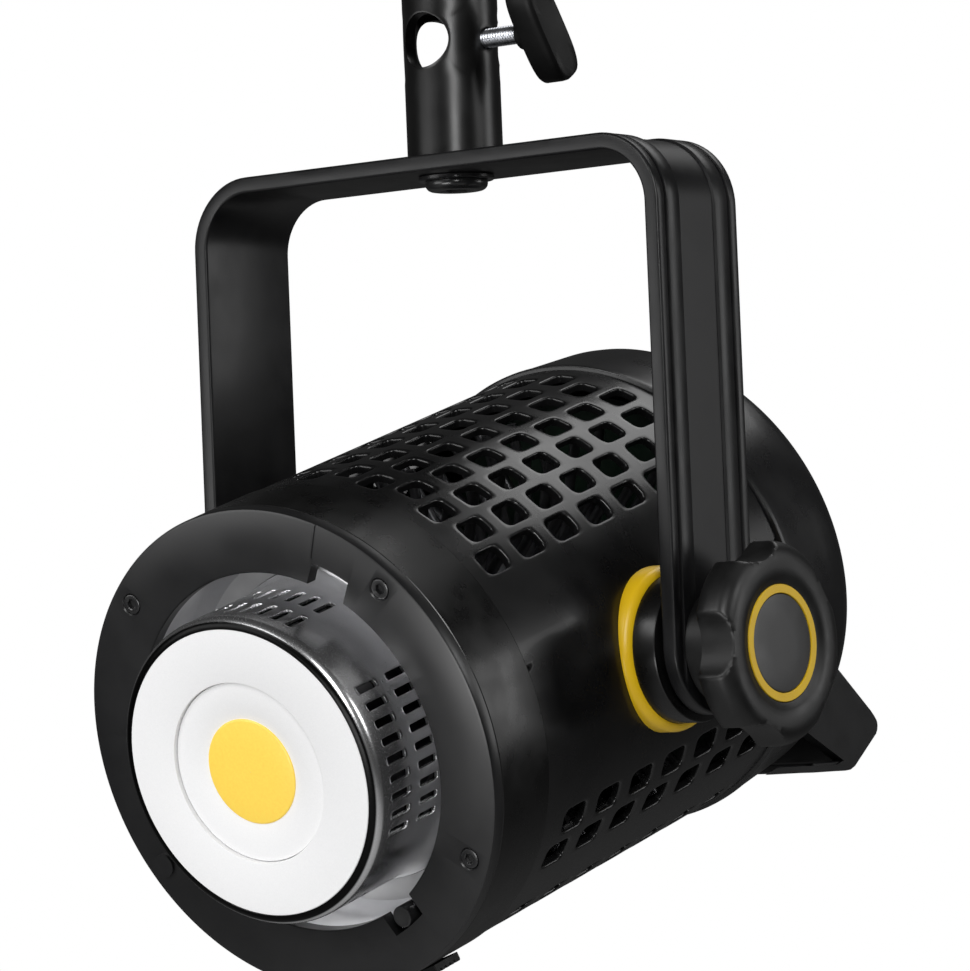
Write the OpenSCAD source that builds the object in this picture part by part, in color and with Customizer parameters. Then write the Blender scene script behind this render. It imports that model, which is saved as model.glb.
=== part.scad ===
// Studio LED light head on a tilting U yoke, hanging from a spigot tube.
// Millimetres, +Z up, the lamp faces -Y. The origin is the centre of the spigot
// tube's open top mouth, where a stand or grid spigot goes in.

/* [Head] */
// How far the head points down from level, in degrees
head_tilt = 16.3; // [0:0.1:30]
// Outside radius of the front housing
housing_r = 73; // [70:0.5:73]
// Wall of the housing, grille shell and rear cap
wall = 2.4; // [2:0.1:3]
// Radius of the accessory throat
throat_r = 54; // [53:0.5:54.5]
// Outside radius of the silver lamp cup
cup_r = 46.2; // [44:0.2:47]
// How far the lamp cup stands out of the face
cup_proud = 18.9; // [12:0.1:22]

/* [Grille] */
// Spacing of the vent holes along the head
vent_pitch = 17.2; // [16.8:0.1:17.4]
// Angle between two rows of vent holes, in degrees
vent_step = 8.85; // [8.5:0.05:9]
// Length of one vent hole along the head
vent_len = 11; // [9:0.1:12]

/* [Yoke] */
// Half the outside width of the yoke
yoke_half = 89.2; // [88:0.1:92]
// Width of the yoke strap
strap_w = 39.7; // [36:0.1:42]
// Thickness of the yoke strap
strap_t = 5; // [4:0.1:6]
// Height of the crossbar's top above the tilt axis
yoke_rise = 151; // [148:1:156]

/* [Spigot tube] */
// Length of the spigot tube above the crossbar
tube_len = 60; // [56:1:70]
// Outside radius of the spigot tube
tube_r = 14.5; // [14:0.1:16]
// Radius of the spigot bore
bore_r = 8.15; // [8.1:0.05:8.3]

/* [Hidden] */
$fn = 64;
gap = 0.15;
eps = 0.01;
pivot_drop = tube_len + yoke_rise;      // tilt axis below the origin

// stations along the head, lamp end negative
face_y = -92.3;                          // front of the face plate
plate_t = 4;
seam_y = -65.5;                          // front housing meets grille shell
cap_y = 65.5;                            // grille shell meets rear cap
back_y = 100;                            // back of the rear cap
cup_front_y = face_y - cup_proud;
shell_r = 72.6;
cap_rim_r = 73.9;
core_front_y = -58;                      // front of the heat sink core

// face plate
notch_r = 61;
notch_angles = [60, 180, -60];
notch_half = 6.6;
screw_ring_r = 66.2;
screw_angles = [45, 135, -30, -150];

// lamp parts
recess_r = 27;
led_r = 15.7;
cup_t = 1.6;
slot_w = 2.3;
slot_l = 8.4;
slot_angles = [for (i = [-4:1:4]) i * 6.75];

// lock
lock_angle = -60;
lock_ring_r = 57.6;
slider_angle = -72;
carrier_angle = (lock_angle + slider_angle) / 2;
lock_pin_r = 3.2;

// grille
top_rows = 6;                            // rows each side of the top row
low_rows = [-29, -38, -59.5, -68.5, -77.5];
vent_w = 7.8;
vent_round = 2.4;
vent_shift = 4.3;                         // every other row sits this much further back

// tilt pivot
ring_r = 24.5;
hub_r = 22;
ring_x = 74.6;                           // outer face of the yellow ring
hub_x = 83.2;                            // outer face of the hub
stud_r = 4;
knob_r = 29.75;
flute_at = 41.3;                         // flutes cut in the knob's rim
flute_r = 16;
neck_r = 17;
knob_x0 = yoke_half + 0.9;
knob_back = 102.3;                       // back of the fluted head, on its neck
knob_x1 = 112.7;                         // sunk middle of the knob's face
knob_top = 113.9;
cap_ring_r = 17;
cap_ring_w = 2.6;

// spigot tube
cross_z = -24.8;                         // cross bore and clamp screw height
relief_z = -26;                          // middle of the wider stretch behind the pad
cross_r = 8.2;
relief_r = 9.6;
low_bore_r = 8.8;                        // bore below the relief
tube_floor = 8;                          // solid floor the bolt screws into
relief_half = 11;
window_r = 8.5;
window_angle = 151;
screw_r = 3;
wing_x = 27.5;
wing_lean = 34;

// rear panel and controls
panel_hx = 30;
panel_hz = 48;
panel_t = 3;
dial_r = 9;
dial_z = 4;
dial_x = 16;
button_r = 4.2;
rocker_z = -31;
inlet_z = -31;
cheek_x = 34;                            // outer face of a foot cheek
cheek_t = 4;

// ---- placing helpers -------------------------------------------------------
module at_pivot() translate([0, 0, -pivot_drop]) children();
module in_head() at_pivot() rotate([head_tilt, 0, 0]) children();
module along_y(y) translate([0, y, 0]) rotate([-90, 0, 0]) children();
module along_x(x) translate([x, 0, 0]) rotate([0, 90, 0]) children();
module spin_y(a) rotate([0, -a, 0]) children();
module rod_y(y0, y1, r) along_y(y0) cylinder(r = r, h = y1 - y0);
module pipe_y(y0, y1, ro, ri) difference() {
    rod_y(y0, y1, ro);
    rod_y(y0 - 1, y1 + 1, ri);
}
module rod_x(x0, x1, r) along_x(x0) cylinder(r = r, h = x1 - x0);
module pipe_x(x0, x1, ro, ri) difference() {
    rod_x(x0, x1, ro);
    rod_x(x0 - 1, x1 + 1, ri);
}
module lathe_y(points) rotate([-90, 0, 0]) rotate_extrude() polygon(points);
module box(lo, hi) translate(lo) cube(hi - lo);

// ---- spigot tube and its clamp ---------------------------------------------
// receiver tube: spigot bore down the middle, cross bore, side window
module spigot_tube() color([0.06, 0.06, 0.06]) difference() {
    translate([0, 0, -tube_len]) cylinder(r = tube_r, h = tube_len);
    translate([0, 0, relief_z + relief_half - eps]) cylinder(r = bore_r, h = tube_len);
    translate([0, 0, -tube_len + tube_floor]) cylinder(r = low_bore_r, h = 20);
    translate([-2, 0, relief_z - relief_half]) cylinder(r = relief_r, h = 2 * relief_half);
    translate([0, 0, cross_z]) rotate([90, 0, 0]) cylinder(r = cross_r, h = tube_r + 2);
    translate([0, 0, cross_z]) rotate([0, 0, window_angle]) rotate([0, 90, 0])
        cylinder(r = window_r, h = tube_r + 2);
    translate([0, 0, cross_z]) rotate([0, 90, 0]) cylinder(r = screw_r + 0.05, h = tube_r + 2);
    translate([0, 0, -tube_len - 1]) cylinder(r = 4.05, h = 12);
}

// socket head bolt up through the crossbar into the tube's floor
module tube_bolt() color([0.1, 0.1, 0.1]) translate([0, 0, -tube_len - strap_t]) {
    cylinder(r = 3.95, h = 12.4);
    difference() {
        translate([0, 0, -4.7]) cylinder(r = 9.5, h = 3);
        translate([0, 0, -6]) cylinder(r = 4, h = 3.2, $fn = 6);
    }
    translate([0, 0, -2]) cylinder(r = 3.95, h = 2.5);
}
module tube_washer() color([0.55, 0.55, 0.55]) translate([0, 0, -tube_len - strap_t - 1.6])
    difference() {
        cylinder(r = 11.5, h = 1.5);
        translate([0, 0, -1]) cylinder(r = 4.15, h = 4);
    }

// clamp: loose brass pad, screw and T shaped wing
module clamp_pad() color([0.75, 0.6, 0.3]) translate([0, 0, cross_z])
    rod_x(bore_r + 0.35, bore_r + 3.3, screw_r - 0.1);
module clamp_screw() color([0.5, 0.5, 0.5]) translate([0, 0, cross_z])
    rod_x(bore_r + 3.6, wing_x - 0.1, screw_r);
module clamp_wing() color([0.08, 0.08, 0.08]) translate([0, 0, cross_z]) union() {
    rod_x(wing_x, wing_x + 12, 6.2);
    rotate([wing_lean, 0, 0]) {
        box([wing_x + 2, -5, -12], [wing_x + 13, 5, 12]);
        for (s = [-1, 1]) translate([0, 0, s * 12]) rod_x(wing_x + 3, wing_x + 12, 4.6);
    }
}

// ---- yoke -------------------------------------------------------------------
module arch(half, top, r) union() {
    translate([-half, -30]) square([2 * half, top + 30 - r]);
    translate([-half + r, -30]) square([2 * (half - r), top + 30]);
    for (s = [-1, 1]) translate([s * (half - r), top - r]) circle(r = r);
}
module arch_band(outside, inside, y0, y1) translate([0, y1, 0]) rotate([90, 0, 0])
    linear_extrude(y1 - y0) difference() {
        arch(yoke_half + outside, yoke_rise + outside, 21.5 + outside);
        arch(yoke_half - inside, yoke_rise - inside, 21.5 - inside);
    }
module strap_outline() union() {
    translate([-strap_w / 2, 0]) square([strap_w, yoke_rise + 5]);
    circle(r = strap_w / 2);
}
module yoke() color([0.16, 0.16, 0.17]) at_pivot() difference() {
    intersection() {
        arch_band(0, strap_t, -strap_w / 2, strap_w / 2);
        rotate([90, 0, 90]) translate([0, 0, -100]) linear_extrude(200) strap_outline();
    }
    for (s = [-1, 1]) arch_band(1, 0.6, min(s * 16.45, s * 14.85), max(s * 16.45, s * 14.85));
    arch_band(1, 0.8, -8.5, 8.5);
    for (s = [-1, 1]) rod_x(min(s * 80, s * 95), max(s * 80, s * 95), stud_r + 0.08);
    translate([0, 0, yoke_rise - 10]) cylinder(r = 4.1, h = 20);
}

// ---- tilt pivot, one set each side ------------------------------------------
module each_side(right) at_pivot() mirror([right ? 0 : 1, 0, 0]) children();
module pivot_ring(right) color([0.85, 0.66, 0.1]) each_side(right) rotate([head_tilt, 0, 0])
    difference() {
        union() {
            rod_x(67, 73.1, ring_r);
            along_x(73.1) cylinder(r1 = ring_r, r2 = hub_r + 1, h = ring_x - 73.1);
        }
        rod_x(60, 90, stud_r + 0.1);
        rod_y(-40, 40, shell_r + 0.1, $fn = 256);
    }
module pivot_hub(right) color([0.12, 0.12, 0.12]) each_side(right) rotate([head_tilt, 0, 0])
    pipe_x(ring_x + 0.1, hub_x, hub_r, stud_r + 0.1);
module friction_washer(right) color([0.7, 0.68, 0.6]) each_side(right)
    pipe_x(hub_x + 0.35, yoke_half - strap_t - 0.1, 16, stud_r + 0.1);
module tilt_stud(right) color([0.55, 0.55, 0.56]) each_side(right) rotate([head_tilt, 0, 0])
    union() {
        rod_x(64, yoke_half + 14, stud_r);
        along_x(63) cylinder(r = 8, h = 5.5, $fn = 6);
    }
module tilt_knob(right) color([0.1, 0.1, 0.1]) each_side(right) difference() {
    union() {
        difference() {
            along_x(0) rotate_extrude() polygon([[0, knob_back], [knob_r - 0.9, knob_back],
                [knob_r, knob_back + 0.9], [knob_r, 109.2], [29.4, 110.8], [28.5, 112.2],
                [27.2, 113.2], [25.2, knob_top], [22, knob_top], [18.8, 113.3], [18, knob_x1],
                [0, knob_x1]]);
            for (a = [0:72:288]) rotate([90 + a, 0, 0]) translate([0, 0, flute_at])
                rod_x(knob_back - 1, knob_top + 1, flute_r);
        }
        rod_x(knob_x0, knob_back + 1, neck_r);
    }
    rod_x(knob_x0 - 1, yoke_half + 15, stud_r + 0.05);
    pipe_x(knob_x1 - 1, knob_x1 + 1, cap_ring_r + 0.05, cap_ring_r - cap_ring_w - 0.05);
    rod_x(knob_x1 - 1, knob_x1 + 1, cap_ring_r - cap_ring_w + 0.02);
}
module knob_ring(right) color([0.9, 0.72, 0.1]) each_side(right)
    pipe_x(knob_x1 - 0.9, knob_x1 + 0.2, cap_ring_r, cap_ring_r - cap_ring_w);
module knob_badge(right) color([0.3, 0.3, 0.3]) each_side(right)
    rod_x(knob_x1 - 0.9, knob_x1, cap_ring_r - cap_ring_w - 0.1);

// ---- front end --------------------------------------------------------------
module front_housing() color([0.13, 0.13, 0.13]) in_head() difference() {
    union() {
        pipe_y(face_y + plate_t + gap, seam_y - gap, housing_r, housing_r - wall);
        pipe_y(seam_y - 3, seam_y - gap, housing_r - wall + eps, 61);
        for (a = screw_angles) spin_y(a) translate([screw_ring_r, 0, 0])
            rod_y(face_y + plate_t + gap, seam_y - 2, 4);
    }
    for (a = screw_angles) spin_y(a) translate([screw_ring_r, 0, 0])
        rod_y(face_y, face_y + plate_t + 12, 1.6);
    spin_y(slider_angle) box([housing_r - 6, -82, -4.2], [housing_r + 3, -66.9, 4.2]);
    spin_y(carrier_angle) box([58, -86.5, -11], [housing_r - 4.9, -60, 11]);
}
module face_plate() color([0.2, 0.2, 0.21]) in_head() difference() {
    lathe_y([[throat_r, face_y], [housing_r - 0.8, face_y], [housing_r, face_y + 0.8],
        [housing_r, face_y + plate_t], [throat_r, face_y + plate_t]]);
    for (a = notch_angles) spin_y(a) intersection() {
        rod_y(face_y - 1, face_y + plate_t + 1, notch_r);
        box([throat_r - 4, face_y - 2, -notch_half], [notch_r + 2, face_y + plate_t + 2, notch_half]);
    }
    for (a = screw_angles) spin_y(a) translate([screw_ring_r, 0, 0]) {
        rod_y(face_y - 1, face_y + plate_t + 1, 1.7);
        rod_y(face_y - 1, face_y + 2, 3.1);
    }
}
module plate_screws() color([0.25, 0.25, 0.25]) in_head()
    for (a = screw_angles) spin_y(a) translate([screw_ring_r, 0, 0]) difference() {
        union() {
            rod_y(face_y + 0.1, face_y + 1.9, 3);
            rod_y(face_y + 1.8, face_y + 12, 1.5);
        }
        along_y(face_y - 1) cylinder(r = 1.4, h = 2.4, $fn = 6);
    }
// silver tray the accessory drops into, around the lamp cup
module throat_liner() color([0.8, 0.8, 0.82]) in_head() difference() {
    lathe_y([[57.4, face_y + plate_t + gap], [60.4, face_y + plate_t + gap], [60.4, -62],
        [48.2, -62], [48.2, -64], [54.4, -64], [57.4, -70]]);
    spin_y(carrier_angle) box([50, -89, -14.5], [66, -70.4, 14.5]);
}
module lock_pin() color([0.1, 0.1, 0.1]) in_head() spin_y(lock_angle)
    translate([lock_ring_r, 0, 0]) rod_y(face_y - 0.9, -82.2, lock_pin_r);
module lock_carrier() color([0.35, 0.35, 0.35]) in_head() union() {
    spin_y(carrier_angle) box([59.4, -82.1, -9.8], [65.4, -76.5, 9.8]);
    spin_y(lock_angle) box([54.6, -82.1, -3.2], [62, -77.5, 3.2]);
    spin_y(slider_angle) box([62, -81.5, -3.4], [housing_r - 0.2, -77, 3.4]);
}
module lock_slider() color([0.1, 0.1, 0.1]) in_head() spin_y(slider_angle) difference() {
    box([housing_r + 0.2, -84, -6.5], [housing_r + 2.6, -72.5, 6.5]);
    for (y = [-82.4:2.2:-74]) box([housing_r + 1.8, y, -7], [housing_r + 3, y + 0.9, 7]);
}
module led_cup() color([0.82, 0.82, 0.83]) in_head() difference() {
    lathe_y([[cup_r - 3.2, cup_front_y + 0.2], [cup_r - 1, cup_front_y + 1.2],
        [cup_r, cup_front_y + 3.6], [cup_r, -66], [48, -64], [48, -61.4], [44.4, -61.4],
        [cup_r - cup_t, -66], [cup_r - cup_t, cup_front_y + 3.6],
        [cup_r - 2.4, cup_front_y + 2], [cup_r - 3.2, cup_front_y + 1.8]]);
    for (side = [0:90:270], a = slot_angles, y = [-104.4, -91.2])
        spin_y(a + side) box([cup_r - 4, y, -slot_w / 2], [cup_r + 2, y + slot_l, slot_w / 2]);
}
module cup_face() color([0.93, 0.93, 0.93]) in_head()
    lathe_y([[recess_r, cup_front_y], [cup_r - 3.4, cup_front_y], [cup_r - 3.4, cup_front_y + 1.5],
        [recess_r, cup_front_y + 1.5]]);
module led_board() color([0.92, 0.92, 0.92]) in_head()
    rod_y(cup_front_y + 3.4, cup_front_y + 6.4, recess_r + 8);
module led_disc() color([1, 0.87, 0.4]) in_head()
    rod_y(cup_front_y + 2.2, cup_front_y + 3.3, led_r);

// ---- middle -------------------------------------------------------------------
// aluminium boss between the lamp's board and the heat sink
module lamp_boss() color([0.5, 0.5, 0.52]) in_head()
    rod_y(cup_front_y + 6.5, core_front_y - 0.1, 22);

// solid core behind the boss, with round pins standing out to the grille
module heat_sink() color([0.5, 0.5, 0.52]) in_head() difference() {
    union() {
        rod_y(core_front_y, 60, 28);
        for (y = [-50:13:54], a = [0:22.5:337.5]) spin_y(a) translate([0, y, 0]) rod_x(26, 62, 1.6);
    }
    rod_y(-40, 61, 17);
}
module vent_outline() union() {
    square([vent_len, vent_w - 2 * vent_round], center = true);
    square([vent_len - 2 * vent_round, vent_w], center = true);
    for (x = [-1, 1], y = [-1, 1])
        translate([x * (vent_len / 2 - vent_round), y * (vent_w / 2 - vent_round)])
            circle(r = vent_round);
}
module vent_hole(a, y) spin_y(a) translate([68, y, 0]) rotate([0, 90, 0]) rotate(90)
    linear_extrude(8) vent_outline();
module vent_shell() color([0.12, 0.12, 0.12]) in_head() difference() {
    pipe_y(seam_y + gap, cap_y - gap, shell_r, shell_r - wall);
    for (k = [-top_rows:top_rows], i = [-3:3])
        vent_hole(90 + k * vent_step, i * vent_pitch - 2 + (k + top_rows) % 2 * vent_shift);
    for (k = [0:len(low_rows) - 1], side = [0, 1], i = [-3:3])
        vent_hole(side * (180 - 2 * low_rows[k]) + low_rows[k],
            i * vent_pitch - 2 + (k + 1) % 2 * vent_shift);
    for (s = [0, 180]) spin_y(s) rod_x(60, 80, stud_r + 0.2);
}

// ---- rear end -------------------------------------------------------------------
module rear_cap() color([0.13, 0.13, 0.14]) in_head() difference() {
    lathe_y([[cap_rim_r - 0.5, cap_y + gap], [cap_rim_r, cap_y + 1.6], [73.6, 70], [72.4, 88],
        [71.8, 95], [70.2, 98.6], [67.6, back_y], [0, back_y], [0, back_y - 3], [66, back_y - 3],
        [69.4, 94], [70.4, 80], [70.6, cap_y + gap]]);
    box([-panel_hx - gap, back_y - 5, -panel_hz - gap], [panel_hx + gap, back_y + 1, panel_hz + gap]);
    for (x = [-43, 43], z = [-18, -42]) translate([x, 0, z]) rod_y(back_y - 5, back_y + 1, 2.05);
}
module rear_panel() color([0.1, 0.1, 0.11]) in_head() difference() {
    box([-panel_hx, back_y - panel_t, -panel_hz], [panel_hx, back_y, panel_hz]);
    box([-22.1, back_y - 1.4, 16.9], [22.1, back_y + 1, 41.1]);
    for (x = [-dial_x, dial_x]) translate([x, 0, dial_z]) rod_y(90, 105, 3.1);
    for (x = [-8, 8]) translate([x, 0, -13]) rod_y(90, 105, button_r + 0.4);
    box([-26.2, 90, rocker_z - 7.7], [-3.8, 105, rocker_z + 7.7]);
    translate([15, 0, inlet_z]) rod_y(90, 105, 8.1);
}
module display_window() color([0.05, 0.05, 0.06, 0.6]) in_head()
    box([-22, back_y - 1.3, 17], [22, back_y, 41]);
module dial(x) color([0.12, 0.12, 0.12]) in_head() translate([x, 0, dial_z]) difference() {
    union() {
        rod_y(back_y + 0.5, back_y + 14, dial_r);
        rod_y(back_y - 8, back_y + 1, 3);
    }
    for (a = [0:30:330]) spin_y(a) translate([dial_r + 0.5, 0, 0]) rod_y(back_y + 3, back_y + 15, 1);
    box([-0.5, back_y + 13.4, 2], [0.5, back_y + 15, 8]);
}
module button(x) color([0.2, 0.2, 0.2]) in_head() translate([x, 0, -13])
    rod_y(back_y - 4, back_y + 2.2, button_r);
module rocker_bezel() color([0.08, 0.08, 0.08]) in_head() union() {
    difference() {
        union() {
            box([-27.5, back_y + 0.1, rocker_z - 9], [-2.5, back_y + 1.6, rocker_z + 9]);
            box([-26, back_y - 12, rocker_z - 7.5], [-4, back_y + 0.2, rocker_z + 7.5]);
        }
        box([-24.5, back_y - 11, rocker_z - 6.2], [-5.5, back_y + 5, rocker_z + 6.2]);
    }
    translate([-15, back_y - 5, rocker_z - 7]) cylinder(r = 1.04, h = 14);
}
module power_rocker() color([0.15, 0.15, 0.15]) in_head() translate([-15, back_y - 5, rocker_z])
    linear_extrude(11.6, center = true) difference() {
        polygon([[-7.9, 4.2], [-8, 8.6], [0, 6.4], [8.2, 7.2], [8, 4.2], [2, -2.6], [-2, -2.6]]);
        circle(r = 1.1);
    }
module power_inlet() color([0.6, 0.6, 0.62]) in_head() translate([15, 0, inlet_z]) difference() {
    union() {
        rod_y(back_y - 12, back_y + 0.2, 8);
        rod_y(back_y + 0.1, back_y + 2.4, 9.8);
    }
    rod_y(back_y - 9, back_y + 4, 5.6);
}
module inlet_pins() color([0.85, 0.7, 0.35]) in_head() translate([15, 0, inlet_z])
    for (a = [45:90:315]) spin_y(a) translate([2.8, 0, 0]) rod_y(back_y - 8.9, back_y - 1, 0.7);

// stand and guard below the controls: two cheeks tied by a toe bar and a floor strap
module cheek_outline() difference() {
    polygon([[back_y + 0.2, -4], [107, -8], [149, -66], [150.4, -69.5], [148.5, -72.8],
        [133.4, -78.8], [127.7, -78.5], [84, -65.6], [84, -58], [back_y + 0.2, -58]]);
    polygon([[104.5, -58], [110.5, -59.5], [128, -75.2], [124, -75.2], [92, -65.8], [92, -62]]);
}
module rear_foot() color([0.15, 0.15, 0.16]) in_head() difference() {
    union() {
        for (s = [0, 1]) mirror([s, 0, 0]) {
            rotate([90, 0, 90]) translate([0, 0, cheek_x - cheek_t]) linear_extrude(cheek_t)
                cheek_outline();
            box([cheek_x - eps, back_y + 0.2, -50], [49, back_y + 3.2, -10]);
        }
        rotate([90, 0, 90]) translate([0, 0, -cheek_x + 1]) linear_extrude(2 * cheek_x - 2)
            polygon([[143, -62.5], [149, -66], [150.4, -69.5], [148.5, -72.8], [133.4, -78.8],
                [127.7, -78.5], [112, -74], [112.8, -71], [128, -75.2], [133, -74.6], [142, -70]]);
    }
    rod_y(60, back_y + 0.15, cap_rim_r + 0.3);
    for (x = [-43, 43], z = [-18, -42]) translate([x, 0, z]) rod_y(back_y - 5, back_y + 6, 2.15);
}
module foot_screws() color([0.3, 0.3, 0.3]) in_head()
    for (x = [-43, 43], z = [-18, -42]) translate([x, 0, z]) difference() {
        union() {
            rod_y(back_y + 3.3, back_y + 6.3, 3.6);
            rod_y(back_y - 6, back_y + 3.4, 2);
        }
        along_y(back_y + 4.6) cylinder(r = 1.7, h = 4, $fn = 6);
    }

// electronics inside the rear cap
module driver_board() color([0.1, 0.35, 0.2]) in_head() difference() {
    rod_y(74, 75.6, 62);
    for (a = [45:90:315]) spin_y(a) translate([50, 0, 0]) rod_y(70, 80, 1.7);
}
module board_posts() color([0.7, 0.6, 0.35]) in_head()
    for (a = [45:90:315]) spin_y(a) translate([50, 0, 0]) {
        rod_y(75.7, 96.9, 3);
        rod_y(70, 75.8, 1.6);
    }
module driver_block() color([0.2, 0.2, 0.22]) in_head() {
    box([-24, 63, -20], [6, 73.9, 20]);
    box([10, 63, -16], [26, 73.9, 4]);
}

spigot_tube();
tube_bolt();
tube_washer();
clamp_screw();
clamp_pad();
clamp_wing();
yoke();
tilt_stud(true);  // tilt_stud_right
tilt_stud(false);  // tilt_stud_left
friction_washer(true);  // friction_washer_right
friction_washer(false);  // friction_washer_left
pivot_hub(true);  // pivot_hub_right
pivot_hub(false);  // pivot_hub_left
pivot_ring(true);  // pivot_ring_right
pivot_ring(false);  // pivot_ring_left
tilt_knob(true);  // tilt_knob_right
tilt_knob(false);  // tilt_knob_left
knob_ring(true);  // knob_ring_right
knob_ring(false);  // knob_ring_left
knob_badge(true);  // knob_badge_right
knob_badge(false);  // knob_badge_left
front_housing();
face_plate();
plate_screws();
throat_liner();
lock_pin();
lock_carrier();
lock_slider();
led_cup();
cup_face();
led_board();
led_disc();
lamp_boss();
heat_sink();
vent_shell();
rear_cap();
rear_panel();
display_window();
dial(-dial_x);  // dial_left
dial(dial_x);  // dial_right
button(-8);  // mode_button
button(8);  // group_button
rocker_bezel();
power_rocker();
power_inlet();
inlet_pins();
rear_foot();
foot_screws();
driver_board();
board_posts();
driver_block();
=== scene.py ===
import math

import bmesh
import bpy
from mathutils import Matrix, Vector


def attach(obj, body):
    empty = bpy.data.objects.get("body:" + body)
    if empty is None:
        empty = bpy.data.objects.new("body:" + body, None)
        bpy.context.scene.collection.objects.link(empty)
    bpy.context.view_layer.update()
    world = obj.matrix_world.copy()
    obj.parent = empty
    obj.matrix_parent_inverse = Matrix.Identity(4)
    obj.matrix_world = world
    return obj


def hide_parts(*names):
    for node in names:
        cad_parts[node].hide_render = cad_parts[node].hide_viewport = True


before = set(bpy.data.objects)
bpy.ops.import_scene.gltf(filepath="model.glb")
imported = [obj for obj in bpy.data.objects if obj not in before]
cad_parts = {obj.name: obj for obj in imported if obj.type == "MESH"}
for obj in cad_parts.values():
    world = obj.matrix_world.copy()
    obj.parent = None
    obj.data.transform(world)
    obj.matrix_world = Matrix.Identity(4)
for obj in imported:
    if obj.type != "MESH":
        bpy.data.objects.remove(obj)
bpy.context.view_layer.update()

# ---- Studio --------------------------------------------------------------------------
# A key box at the right front, fills high and low in front, a card for the face plate, a side
# box, a tall strip for the edge light and a top box. A dim surround keeps black paint black.
TILT_AXIS = Vector((0, 0, -0.211))


def point_at(obj, target):
    obj.rotation_euler = (target - obj.location).to_track_quat("-Z", "Y").to_euler()


def soft_box(name, place, size, power):
    data = bpy.data.lights.new(name, "AREA")
    data.shape = "RECTANGLE"
    data.size, data.size_y = size
    data.energy = power
    lamp = bpy.data.objects.new(name, data)
    lamp.location = place
    bpy.context.scene.collection.objects.link(lamp)
    point_at(lamp, TILT_AXIS)


soft_box("key_box", (1.05, -1.3, 0.45), (0.42, 0.9), 13)
soft_box("front_fill", (-0.5, -1.6, 0.7), (0.8, 0.6), 8.6)
soft_box("low_front", (-0.1, -1.65, -0.8), (0.9, 0.4), 9)
soft_box("plate_card", (-0.42, -0.62, -0.13), (0.4, 0.26), 0.95)
soft_box("side_box", (1.42, 0.3, 0.42), (0.5, 0.4), 3.4)
soft_box("edge_strip", (1.25, 1.05, 0.05), (0.45, 0.8), 3.2)
soft_box("top_box", (0.1, 0.85, 1.05), (0.9, 0.7), 4.4)


class Wire:
    """A socket in a material. Sums and products of wires add Math nodes."""

    def __init__(self, tree, socket):
        self.tree, self.socket = tree, socket

    def node(self, kind, settings=None, inputs=None, out=0):
        made = self.tree.nodes.new(kind)
        for key, value in (settings or {}).items():
            setattr(made, key, value)
        for key, value in (inputs or {}).items():
            if isinstance(value, Wire):
                self.tree.links.new(value.socket, made.inputs[key])
            else:
                made.inputs[key].default_value = value
        return Wire(self.tree, None if out is None else made.outputs[out])

    def maths(self, operation, first, second=0.0):
        return self.node("ShaderNodeMath", {"operation": operation}, {0: first, 1: second})

    def __add__(self, other): return self.maths("ADD", self, other)
    def __radd__(self, other): return self.maths("ADD", other, self)
    def __sub__(self, other): return self.maths("SUBTRACT", self, other)
    def __rsub__(self, other): return self.maths("SUBTRACT", other, self)
    def __mul__(self, other): return self.maths("MULTIPLY", self, other)
    def __rmul__(self, other): return self.maths("MULTIPLY", other, self)
    def __truediv__(self, other): return self.maths("DIVIDE", self, other)
    def __pow__(self, other): return self.maths("POWER", self, other)

    def clipped(self):
        return self.node("ShaderNodeClamp", None, {0: self})

    def noise(self, grain_mm, detail=3.0):
        spread = self.node("ShaderNodeVectorMath", {"operation": "MULTIPLY"},
                           {0: self, 1: (1000 / grain_mm,) * 3})
        return self.node("ShaderNodeTexNoise", None,
                         {"Vector": spread, "Scale": 1.0, "Detail": detail})

    def band(self, low, high):
        """0 below low, 1 above high, straight between."""
        return ((self - low) / (high - low)).clipped()

    def blend(self, light, dark):
        """A colour between two, by this value."""
        return self.node("ShaderNodeMix", {"data_type": "RGBA"},
                         {0: self, 6: (*dark, 1), 7: (*light, 1)}, out=2)


world = bpy.data.worlds.new("surround")
bpy.context.scene.world = world
world.use_nodes = True
world.node_tree.nodes.clear()
sky = Wire(world.node_tree, None)
seen = sky.node("ShaderNodeBackground", None, {0: (1, 1, 1, 1), 1: 1.0})
glow = sky.node("ShaderNodeBackground", None, {0: (1, 1, 1, 1), 1: 0.045})
to_camera = sky.node("ShaderNodeLightPath", out="Is Camera Ray")
both = sky.node("ShaderNodeMixShader", None, {0: to_camera, 1: glow, 2: seen})
sky.node("ShaderNodeOutputWorld", None, {0: both}, out=None)
bpy.context.scene.view_settings.view_transform = "Standard"

# the camera stands off the right front corner, level with the head, rolled a little
azimuth, rise, roll = (math.radians(a) for a in (38.14, -2.571, -2.317))
aim = TILT_AXIS + Vector((0.0062, 0, 0.05174))
toward = Vector((math.sin(azimuth) * math.cos(rise), -math.cos(azimuth) * math.cos(rise),
                 math.sin(rise)))
level = (-toward).cross(Vector((0, 0, 1))).normalized()
upright = level.cross(-toward)
side = math.cos(roll) * level + math.sin(roll) * upright
over = math.cos(roll) * upright - math.sin(roll) * level
camera_data = bpy.data.cameras.new("camera")
camera_data.lens = 192.67
camera_data.clip_end = 50
camera = bpy.data.objects.new("camera", camera_data)
bpy.context.scene.collection.objects.link(camera)
place = aim + toward * 1.5643
camera.matrix_world = Matrix((
    (side.x, over.x, toward.x, place.x), (side.y, over.y, toward.y, place.y),
    (side.z, over.z, toward.z, place.z), (0, 0, 0, 1)))
bpy.context.scene.camera = camera

# ---- Spigot tube ---------------------------------------------------------------------
# A thick steel tube in gloss black enamel, cross drilled for a spigot from the front and
# opened at the back left. A bolt through the crossbar holds it from below.
MM = 0.001
AT_TUBE = Matrix.Scale(MM, 4)


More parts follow.
